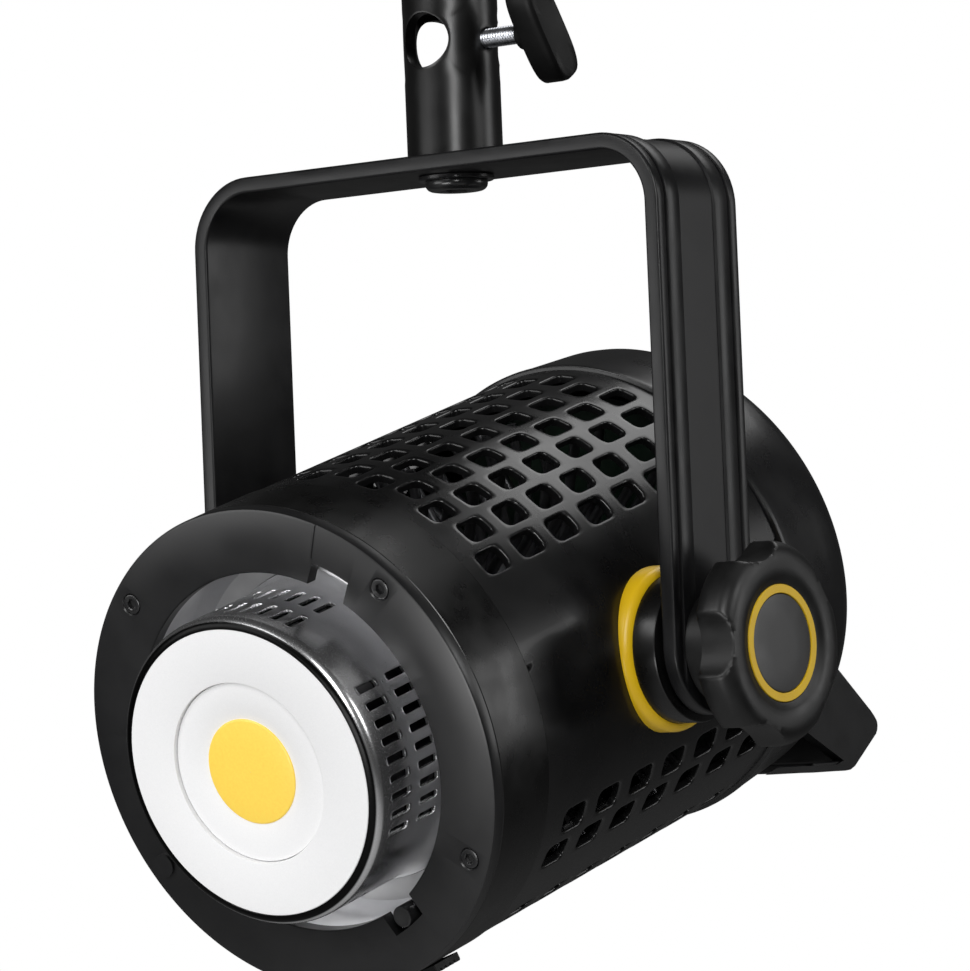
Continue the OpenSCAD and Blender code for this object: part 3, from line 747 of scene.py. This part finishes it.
# ---- Accessory lock ------------------------------------------------------------------
# A sprung black pin stands up in the low right notch. Its zinc carrier is drawn back by a ribbed
# slider outside the housing, to free a lamp accessory's lug.
put = placed(LOCK_A, 57.6)
pin = Shape().skin([circle(48, r, lambda a, b, y=y: put(a, b, y)) for r, y in [
    (0.1, -82.2), (3.2, -82.2), (3.2, -92.7), (3.1, -93.0), (2.8, -93.2), (0.1, -93.2)]],
    start=True, end=True)
pin.make("lock_pin_turned", AT_HEAD, black_oxide, "lock", "black_steel", ["lock_pin"])
carrier = [block(placed(CARRIER_A), (59.4, -9.8, -82.1), (65.4, 9.8, -76.5)),
           block(placed(LOCK_A), (54.6, -3.2, -82.1), (62, 3.2, -77.5)),
           block(placed(SLIDER_A), (62, -3.4, -81.5), (HOUSE_R - 0.2, 3.4, -77))]
bracket = Shape()
for part in carrier:
    base_i = len(bracket.points)
    bracket.points += part.points
    bracket.faces += [tuple(i + base_i for i in f) for f in part.faces]
bracket.make("lock_carrier_folded", AT_HEAD, zinc, "lock", "zinc_steel", ["lock_carrier"],
             bevel=0.3)
slider = Shape()
put = placed(SLIDER_A)
crown = [(-84, 73.2)] + [(-84 + 0.5 * math.sin(t), 75.3 + 0.5 * (1 - math.cos(t)))
                         for t in (0.0, 0.5, 1.0)]
for y in (-82.4, -80.2, -78.0, -75.8):
    crown += [(y, 75.8), (y + 0.2, 75.05), (y + 0.7, 75.05), (y + 0.9, 75.8)]
crown += [(-73.0, 75.8), (-72.6, 75.5), (-72.5, 73.2)]
slider.prism(crown, -6.5, 6.5, lambda y, out, w: put(out, w, y))
slider.make("lock_slider_ribbed", AT_HEAD, moulded, "lock", "black_plastic", ["lock_slider"],
            bevel=0.2)

# ---- Lamp ----------------------------------------------------------------------------
# A spun aluminium cup with four groups of slots in two rows round its wall, flared where it seats
# on the liner. Its silver-white front ring and lamp board carry the round yellow emitter.
CUP_R, CUP_FRONT, CUP_T = 46.2, -111.2, 1.6
cup = Shape()
step = rad(6.75)


def cup_point(u, v, depth):
    return around(CUP_R - depth, u, v)


slot = slot_edge(2.3, 8.4, 0.6)


def cup_slot(angle, grow, depth):
    du, dv = slot(angle, grow, 0)
    return du * HOUSE_R / (CUP_R - depth), dv


rows_y = [(-106.9, -93.6, -100.2), (-93.6, -80.3, -87.0)]
layers = [(1, 0, 0), (0.4, 0.2, 0), (0, 0.18, 0), (0, 0.05, 0.06), (0, 0, 0.2), (0, 0, CUP_T),
          (1, 0, CUP_T)]
for group in (0, 90, 180, 270):
    for k in range(-4, 5):
        mid = rad(group) + k * step
        for low, high, centre in rows_y:
            wall_tile(cup, cup_point, (mid - step / 2, mid + step / 2, low, high), (mid, centre),
                      cup_slot, layers, 8)
for group in (0, 90, 180, 270):
    for a, b, n in ((group - 4.5 * 6.75, group + 4.5 * 6.75, 72),
                    (group + 4.5 * 6.75, group + 90 - 4.5 * 6.75, 34)):
        front_end = ([(CUP_R, -106.9), (CUP_R, CUP_FRONT + 3.2)]
                     + fillet(CUP_R, CUP_FRONT + 3.2, CUP_R - 3.2, CUP_FRONT,
                              CUP_R, CUP_FRONT, 7)[1:]
                     + [(CUP_R - 3.35, CUP_FRONT + 0.1), (CUP_R - 3.4, CUP_FRONT + 1.8),
                        (CUP_R - CUP_T, CUP_FRONT + 3.6), (CUP_R - CUP_T, -106.9)])
        back_end = [(CUP_R, -80.3), (CUP_R, -72.0), (46.4, -69.4), (46.9, -67.4), (47.6, -65.9),
                    (48.0, -64.6), (48.0, -61.6), (44.6, -61.4), (44.6, -80.3)]
        lathe(cup, front_end, n, a, b)
        lathe(cup, back_end, n, a, b)
        if n == 34:
            span = [-106.9 + 13.3 * i / 8 for i in range(9)]
            span += [-93.6 + 13.3 * i / 8 for i in range(1, 9)]
            lathe(cup, [(CUP_R, y) for y in span], n, a, b)
            lathe(cup, [(CUP_R - CUP_T, y) for y in span], n, a, b)
# the cup's metal is bright outside; its inner surface is painted near-black as painted shade for
# the dark hollow, told apart by distance from the axis
spun, spun_shader, spun_start = new_finish("spun_cup_aluminium_painted_inner_shade", {"Metallic": 1.0})
out_from = spun_start.node("ShaderNodeVectorMath", {"operation": "SUBTRACT"},
                           {0: spun_start, 1: tuple(TILT_AXIS)})
reach = out_from.node("ShaderNodeVectorMath", {"operation": "LENGTH"}, {0: out_from}, out=1)
along = out_from.node("ShaderNodeVectorMath", {"operation": "DOT_PRODUCT"},
                      {0: out_from, 1: tuple(AT_HEAD.to_3x3() @ Vector((0, 1 / MM, 0)))}, out=1)
unshaded_outside = ((reach * reach - along * along) ** 0.5).band((CUP_R - 1.3) * MM, (CUP_R - 0.9) * MM)
spun_fine = spun_start.noise(0.35, 2.0)
spun_tone = spun_start.noise(5.0, 3.0).blend((0.90, 0.90, 0.91), (0.78, 0.78, 0.79))
feed(spun_shader, spun_start,
     Base_Color=unshaded_outside.node("ShaderNodeMix", {"data_type": "RGBA"},
                           {0: unshaded_outside, 6: (0.012, 0.012, 0.012, 1), 7: spun_tone}, out=2),
     Roughness=spun_fine * 0.08 + 0.22,
     Normal=grainy(spun_start, [(0.35, 0.012)], 1.0))
cup.make("led_cup_spun", AT_HEAD, spun, "head", "polished_aluminium", ["led_cup"], sharp=36)

face_white, face_shader, face_start = new_finish("silver_white_paint", {"Metallic": 0.0})
face_fine = face_start.noise(0.45, 3.0)
feed(face_shader, face_start,
     Base_Color=face_fine.blend((0.96, 0.96, 0.965), (0.86, 0.86, 0.865)),
     Roughness=face_fine * 0.15 + 0.38,
     Normal=grainy(face_start, [(0.4, 0.006)], 1.0))
RECESS_R, LED_R = 27.0, 15.7
front = Shape()
lathe(front, [(CUP_R - 3.42, CUP_FRONT + 1.7), (CUP_R - 3.42, CUP_FRONT + 0.15),
              (CUP_R - 3.6, CUP_FRONT), (RECESS_R + 0.3, CUP_FRONT),
              (RECESS_R + 0.08, CUP_FRONT + 0.1),
              (RECESS_R, CUP_FRONT + 0.3), (RECESS_R, CUP_FRONT + 1.7),
              (CUP_R - 3.42, CUP_FRONT + 1.7)], 192)
front.make("cup_face_ring", AT_HEAD, face_white, "head", "white_face", ["cup_face"])
board = Shape()
lathe(board, [(0.1, CUP_FRONT + 1.9), (17.2, CUP_FRONT + 1.9), (17.6, CUP_FRONT + 1.7),
              (26.6, CUP_FRONT + 1.2), (26.8, CUP_FRONT + 1.4), (26.8, CUP_FRONT + 3.0),
              (35, CUP_FRONT + 3.4), (35, CUP_FRONT + 6.4), (0.1, CUP_FRONT + 6.4)], 160)
board.make("led_board_white", AT_HEAD, face_white, "head", "white_face", ["led_board"])
# the emitter's faint emission is a painted glow that lifts its yellow; it does not light the scene
phosphor, led_shader, led_start = new_finish("emitter_yellow_painted_glow", {
    "Roughness": 0.42, "Coat Weight": 0.3, "Coat Roughness": 0.2, "Emission Strength": 0.12})
led_fine = led_start.noise(0.8, 2.0)
feed(led_shader, led_start,
     Base_Color=led_fine.blend((1.0, 0.72, 0.105), (0.95, 0.62, 0.07)),
     Emission_Color=led_fine.blend((1.0, 0.70, 0.12), (0.9, 0.6, 0.09)))
emitter = Shape()
lathe(emitter, [(0.1, CUP_FRONT + 3.3), (LED_R, CUP_FRONT + 3.3), (LED_R, CUP_FRONT + 1.75),
                (LED_R - 0.2, CUP_FRONT + 1.55), (LED_R - 0.6, CUP_FRONT + 1.45),
                (8, CUP_FRONT + 1.3), (0.1, CUP_FRONT + 1.25)], 128)
emitter.make("led_disc_domed", AT_HEAD, phosphor, "head", "led_phosphor", ["led_disc"])

# ---- Heat sink -----------------------------------------------------------------------
# Bare cast aluminium: a boss behind the lamp and a drilled core with rings of round pins that
# reach out to the grille. Its grey is painted far darker than bare metal, as painted shade for
# the dim inside of the head.
raw, raw_shader, raw_start = new_finish("raw_aluminium", {"Metallic": 1.0})
raw_tone_painted_shade = raw_start.noise(4.0, 4.0)
feed(raw_shader, raw_start,
     Base_Color=raw_tone_painted_shade.blend((0.20, 0.20, 0.21), (0.11, 0.11, 0.115)),
     Roughness=raw_tone_painted_shade * 0.2 + 0.28,
     Normal=grainy(raw_start, [(0.8, 0.02)], 1.0))
for node_name in ("heat_sink", "lamp_boss"):
    if node_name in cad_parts:
        dress(node_name, raw)

# ---- Grille shell --------------------------------------------------------------------
# A die-cut aluminium tube in satin black, pierced with rows of rounded openings over the top and
# low on each side, alternate rows set back a quarter pitch. It slides between housing and cap.
SHELL_R, PITCH, ROW = 72.6, 17.2, 8.85
shell = Shape()
grid = [-62.2 + PITCH / 8 * k for k in range(59)]
ends_y = (SEAM_Y + 0.15, 65.35)


def shell_point(u, v, depth):
    return around(SHELL_R - depth, u, v)


vent = slot_edge(7.8, 11.0, 2.3)


def vent_edge(angle, grow, depth):
    du, dv = vent(angle, grow, 0)
    return du * HOUSE_R / (SHELL_R - depth), dv


vent_layers = [(1, 0, 0), (0.45, 0.5, 0), (0, 0.5, 0), (0, 0.42, 0.03), (0, 0.16, 0.2),
               (0, 0.04, 0.42),
               (0, 0, 0.7), (0, 0, WALL), (1, 0, WALL)]
columns = [(90 + k * ROW, ROW / 2, (k + 6) % 2) for k in range(-6, 7)]
for low_row, half_row, back in ((-29, 4.5, 1), (-38, 4.5, 0), (-59.5, 4.5, 1), (-68.5, 4.5, 0),
                                (-77.5, 4.5, 1)):
    columns += [(low_row, half_row, back), (180 - low_row, half_row, back)]
covered = []
for mid, half_row, back in columns:
    a, b = mid - half_row, mid + half_row
    covered.append((a % 360, b % 360))
    shift = PITCH / 4 * back
    for i in range(-3, 4):
        y = i * PITCH - 2 + shift
        wall_tile(shell, shell_point, (rad(a), rad(b), y - PITCH / 2, y + PITCH / 2),
                  (rad(mid), y), vent_edge, vent_layers, 8)
    y0, y1 = -62.2 + shift, 58.2 + shift
    for depth in (0, WALL):
        for ys in ([ends_y[0]] + [y for y in grid if y <= y0 + 1e-6],
                   [y for y in grid if y >= y1 - 1e-6] + [ends_y[1]]):
            if ys[0] != ys[-1]:
                lathe(shell, [(SHELL_R - depth, y) for y in ys], 8, a, b)
covered.sort()
for (_, a), (b, _) in zip(covered, covered[1:] + covered[:1]):
    gap_angle = (b - a) % 360
    if 0.01 < gap_angle < 359:
        n = max(2, round(gap_angle / 1.12))
        for depth in (0, WALL):
            lathe(shell, [(SHELL_R - depth, y) for y in [ends_y[0]] + grid + [ends_y[1]]],
                  n, a, a + gap_angle)
for y in ends_y:
    lathe(shell, [(SHELL_R, y), (SHELL_R - WALL, y)], 320)
grille_black = painted("grille_satin_black", (0.004, 0.004, 0.0042), (0.007, 0.007, 0.0073),
                       0.28, 0.5, 0.045, coat=0.1, spread=0.08, patch=20)
shell.make("vent_shell_pierced", AT_HEAD, grille_black, "head", "grille_black", ["vent_shell"],
           sharp=35)

# ---- Rear cap ------------------------------------------------------------------------
# A moulded black cap that closes the back, drafted and rounded at its rim, with an opening for
# the control panel and four holes for the foot's screws.
BACK_Y = 100.0
cap = Shape()
cap_profile = [(73.3, 65.65), (73.75, 65.9), (73.9, 66.6), (73.9, 67.4), (73.6, 70), (73.0, 79),
               (72.5, 87), (72.1, 93), (71.6, 95.6), (70.7, 97.7), (69.3, 99.2), (67.4, 99.9),
               (66, BACK_Y), (0.1, BACK_Y)]
inner = [(0.1, BACK_Y - 3), (65, BACK_Y - 3), (69, 94), (70.2, 80), (70.5, 65.65), (73.3, 65.65)]
lathe(cap, cap_profile + inner, 256)
cap_cuts = [block(lambda a, b, y: (a, y, b), (-30.15, -48.15, 90), (30.15, 48.15, 105))]
for x in (-43, 43):
    for z in (-18, -42):
        cap_cuts.append(Shape().skin([circle(32, 2.05, lambda a, b, y=y: (x + a, y, z + b))
                                      for y in (90, 105)], start=True, end=True))
cap_black = painted("cap_satin_black", (0.006, 0.006, 0.0065), (0.010, 0.010, 0.0105),
                    0.3, 0.5, 0.05, coat=0.1, spread=0.08, patch=16, shine=0.4)
cap.make("rear_cap_moulded", AT_HEAD, cap_black, "head", "cap_black_plastic", ["rear_cap"],
         sharp=30, cuts=cap_cuts)

# ---- Control panel -------------------------------------------------------------------
# A black plate let into the cap, with a display behind dark glass, two knurled dials, two rubber
# buttons, a rocker switch in its bezel and a round four-pin power inlet. It carries no lettering.
def flat(x, z, r, ys):
    """Rings about a fore-and-aft line at x, z, with one radius or one for each y."""
    return [circle(48, r[i] if isinstance(r, tuple) else r,
                   lambda a, b, y=y: (x + a, y, z + b)) for i, y in enumerate(ys)]


def facing(a, b, y):
    return (a, y, b)


panel = block(facing, (-30, -48, BACK_Y - 3), (30, 48, BACK_Y))
panel_cuts = [block(facing, (-22.1, 16.9, BACK_Y - 1.4), (22.1, 41.1, BACK_Y + 2)),
              block(facing, (-26.2, -38.7, 90), (-3.8, -23.3, 105))]
for x, z, r in ((-16, 4, 3.1), (16, 4, 3.1), (-8, -13, 4.6), (8, -13, 4.6), (15, -31, 8.1)):
    panel_cuts.append(Shape().skin(flat(x, z, r, (90, 105)), start=True, end=True))
for x in (-16, 16):
    for turn in range(-4, 5):
        t = math.pi / 2 + turn * rad(33.75)
        c, s = math.cos(t), math.sin(t)
        tick = [(x + c * r - s * w, 4 + s * r + c * w) for r, w in
                ((11.2, -0.25), (12.6, -0.25), (12.6, 0.25), (11.2, 0.25))]
        panel_cuts.append(Shape().prism(tick, BACK_Y - 0.25, BACK_Y + 1, facing))
panel_black = painted("panel_black", (0.008, 0.008, 0.009), (0.014, 0.014, 0.015), 0.4, 0.5, 0.008)
panel.make("rear_panel_plate", AT_HEAD, panel_black, "head", "panel_black", ["rear_panel"],
           cuts=panel_cuts, bevel=0.25)

dark_glass, glass_shader, glass_start = new_finish("display_glass", {
    "Coat Weight": 0.8, "Coat Roughness": 0.03, "IOR": 1.5})
glass_cloud = glass_start.noise(12, 2.0)
feed(glass_shader, glass_start,
     Base_Color=glass_cloud.blend((0.010, 0.012, 0.016), (0.004, 0.005, 0.007)),
     Roughness=glass_cloud * 0.05 + 0.08)
window = block(facing, (-22, 17, BACK_Y - 1.3), (22, 41, BACK_Y))
window.make("display_window_glass", AT_HEAD, dark_glass, "head", "display_glass",
            ["display_window"], bevel=0.35)

for side_name, x in (("left", -16), ("right", 16)):
    dial = Shape()

    def knurl(r, depth=0.35):
        return lambda t: r - depth * (0.5 + 0.5 * math.cos(36 * t)) ** 2

    dial.skin([circle(432, r, lambda a, b, y=y: (x + a, y, 4 + b)) for r, y in [
        (0.1, 92), (2.7, 92), (3, 92.3), (3, 100.5), (8.6, 100.5), (9, 100.8), (9, 102.4),
        (8.7, 102.8), (knurl(8.95), 103.2), (knurl(8.95), 112.2), (knurl(8.8, 0.2), 112.9),
        (8.3, 113.6), (7.7, 113.9), (7.3, 113.7), (0.1, 113.5)]], start=True, end=True)
    mark = block(facing, (x - 0.45, 6.2, 113.2), (x + 0.45, 10.6, 115))
    dial.make("dial_" + side_name + "_knurled", AT_HEAD, knob_black, "dial_" + side_name,
              "black_plastic", ["dial_" + side_name], cuts=[mark])
rubber = painted("grey_rubber", (0.045, 0.045, 0.047), (0.062, 0.062, 0.064), 0.6, 0.4, 0.006)
for name, x in (("mode_button", -8), ("group_button", 8)):
    Shape().skin(flat(x, -13, (0.1, 4.2, 4.2, 4.05, 3.6, 2.4, 0.1),
                      (96, 96, 101.3, 101.8, 102.05, 102.15, 102.2)), start=True, end=True).make(
        name + "_moulded", AT_HEAD, rubber, name, "grey_rubber", [name])


def rocker_side(a, b, x):
    """Outline points run along the switch, a across it, b out of the panel."""
    return (-15 + a, BACK_Y - 5 + b, -31 + x)


outline = [(-7.9, 4.2), (-8.0, 8.5)]
outline += [(-7.8 + 15.9 * i / 14, 8.5 - 1.3 * i / 14 - 1.6 * math.sin(math.pi * i / 14))
            for i in range(1, 14)]
outline += [(8.2, 7.2), (8.0, 4.2), (2, -2.6), (-2, -2.6)]
rocker_black = painted("rocker_black", (0.012, 0.012, 0.012), (0.02, 0.02, 0.02), 0.3, 0.5, 0.005)
axle_hole = Shape().skin([circle(32, 1.1, lambda a, b, z=z: (-15 + a, BACK_Y - 5 + b, z))
                          for z in (-40, -22)], start=True, end=True)
Shape().prism(outline, -5.8, 5.8, rocker_side).make(
    "power_rocker_moulded", AT_HEAD, rocker_black, "power_rocker", "rocker_plastic",
    ["power_rocker"], cuts=[axle_hole], bevel=0.3, sharp=40)
for node_name, finish in (("rocker_bezel", moulded), ("power_inlet", zinc), ("inlet_pins", brass)):
    dress(node_name, finish)

# ---- Rear foot -----------------------------------------------------------------------
# A moulded bracket under the cap that the head stands on when it is off its yoke: two cheeks with
# triangular windows, joined by a toe bar and a floor strap, on flanges with four socket screws.
def cheek(points, low, high):
    return Shape().prism(points, low, high, lambda y, z, x: (x, y, z))


cheek_line = [(BACK_Y + 0.2, -4), (107, -8), (148.2, -64.9)]
cheek_line += [(149.4, -66.9), (150.2, -68.6), (150.4, -69.5), (150.2, -70.6), (149.6, -71.8),
               (148.5, -72.8), (133.4, -78.8), (130.6, -79.1), (127.7, -78.5), (84, -65.6),
               (84, -58), (BACK_Y + 0.2, -58)]
eye = [(104.5, -58), (110.5, -59.5), (128, -75.2), (124, -75.2), (92, -65.8), (92, -62)]
under_cap = Shape()
lathe(under_cap, [(0.1, 60), (74.2, 60), (74.2, BACK_Y + 0.15), (0.1, BACK_Y + 0.15)], 256)
foot = [cheek(cheek_line, 30, 34), cheek(cheek_line, -34, -30),
        block(facing, (33.99, -50, BACK_Y + 0.2), (49, -10, BACK_Y + 3.2)),
        block(facing, (-49, -50, BACK_Y + 0.2), (-33.99, -10, BACK_Y + 3.2)),
        cheek([(143, -62.5), (149, -66), (150.4, -69.5), (148.5, -72.8), (133.4, -78.8),
               (127.7, -78.5), (112, -74), (112.8, -71), (128, -75.2), (133, -74.6), (142, -70)],
              -33, 33)]
foot_black = painted("foot_black", (0.006, 0.006, 0.0065), (0.011, 0.011, 0.0115), 0.38, 0.5, 0.04,
                     spread=0.08, shine=0.36)
for k, (part, cuts) in enumerate(zip(foot, (
        [cheek(eye, 25, 40), under_cap], [cheek(eye, -40, -25), under_cap],
        [Shape().skin(flat(43, z, 2.15, (95, 106)), start=True, end=True) for z in (-18, -42)],
        [Shape().skin(flat(-43, z, 2.15, (95, 106)), start=True, end=True) for z in (-18, -42)],
        []))):
    piece = part.make("rear_foot_%d" % (k + 1), AT_HEAD, foot_black, "head", "cap_black_plastic",
                      cuts=cuts, bevel=0.7)
    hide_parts("rear_foot")
bolts = Shape()
for x in (-43, 43):
    for z in (-18, -42):
        bolts.skin(flat(x, z, (0.1, 1.8, 2, 2, 3.4, 3.6, 3.6, 3.3, 2.0),
                        (94, 94, 94.3, 103.35, 103.35, 103.6, 105.6, 106.2, 106.3))
                   + [circle(48, hexagon(3.4), lambda a, b, y=y: (x + a, y, z + b))
                      for y in (106.1, 104.7)]
                   + flat(x, z, 0.1, (104.5,)), start=True, end=True)
bolts.make("foot_screws_socket", AT_HEAD, black_oxide, "head", "black_steel", ["foot_screws"])

# ---- Driver electronics --------------------------------------------------------------
# A green circuit board on brass posts inside the cap, with its two dark driver blocks. It only
# shows through the grille, and its green is painted very dark as painted shade for the dim inside.
green = painted("circuit_board", (0.002, 0.010, 0.005), (0.004, 0.018, 0.008), 0.42, 1.2, 0.01)
dark_part = painted("component_black", (0.012, 0.012, 0.013), (0.03, 0.03, 0.032), 0.5, 0.8, 0.01)
dress("driver_board", green)
dress("board_posts", brass)
dress("driver_block", dark_part)

# ---- Floor ---------------------------------------------------------------------------
# A pale floor well below the hanging head.
floor_mesh = bpy.data.meshes.new("floor")
floor_mesh.from_pydata([(6 * math.cos(t), 6 * math.sin(t), -1.3)
                        for t in [2 * math.pi * i / 96 for i in range(96)]], [], [tuple(range(96))])
floor = bpy.data.objects.new("floor", floor_mesh)
bpy.context.scene.collection.objects.link(floor)
floor_white, floor_shader, floor_start = new_finish("floor_white", {})
floor_grain = floor_start.noise(900, 2.0)
feed(floor_shader, floor_start,
     Base_Color=floor_grain.blend((0.64, 0.64, 0.64), (0.60, 0.60, 0.60)),
     Roughness=floor_grain * 0.1 + 0.6)
floor_mesh.materials.append(floor_white)
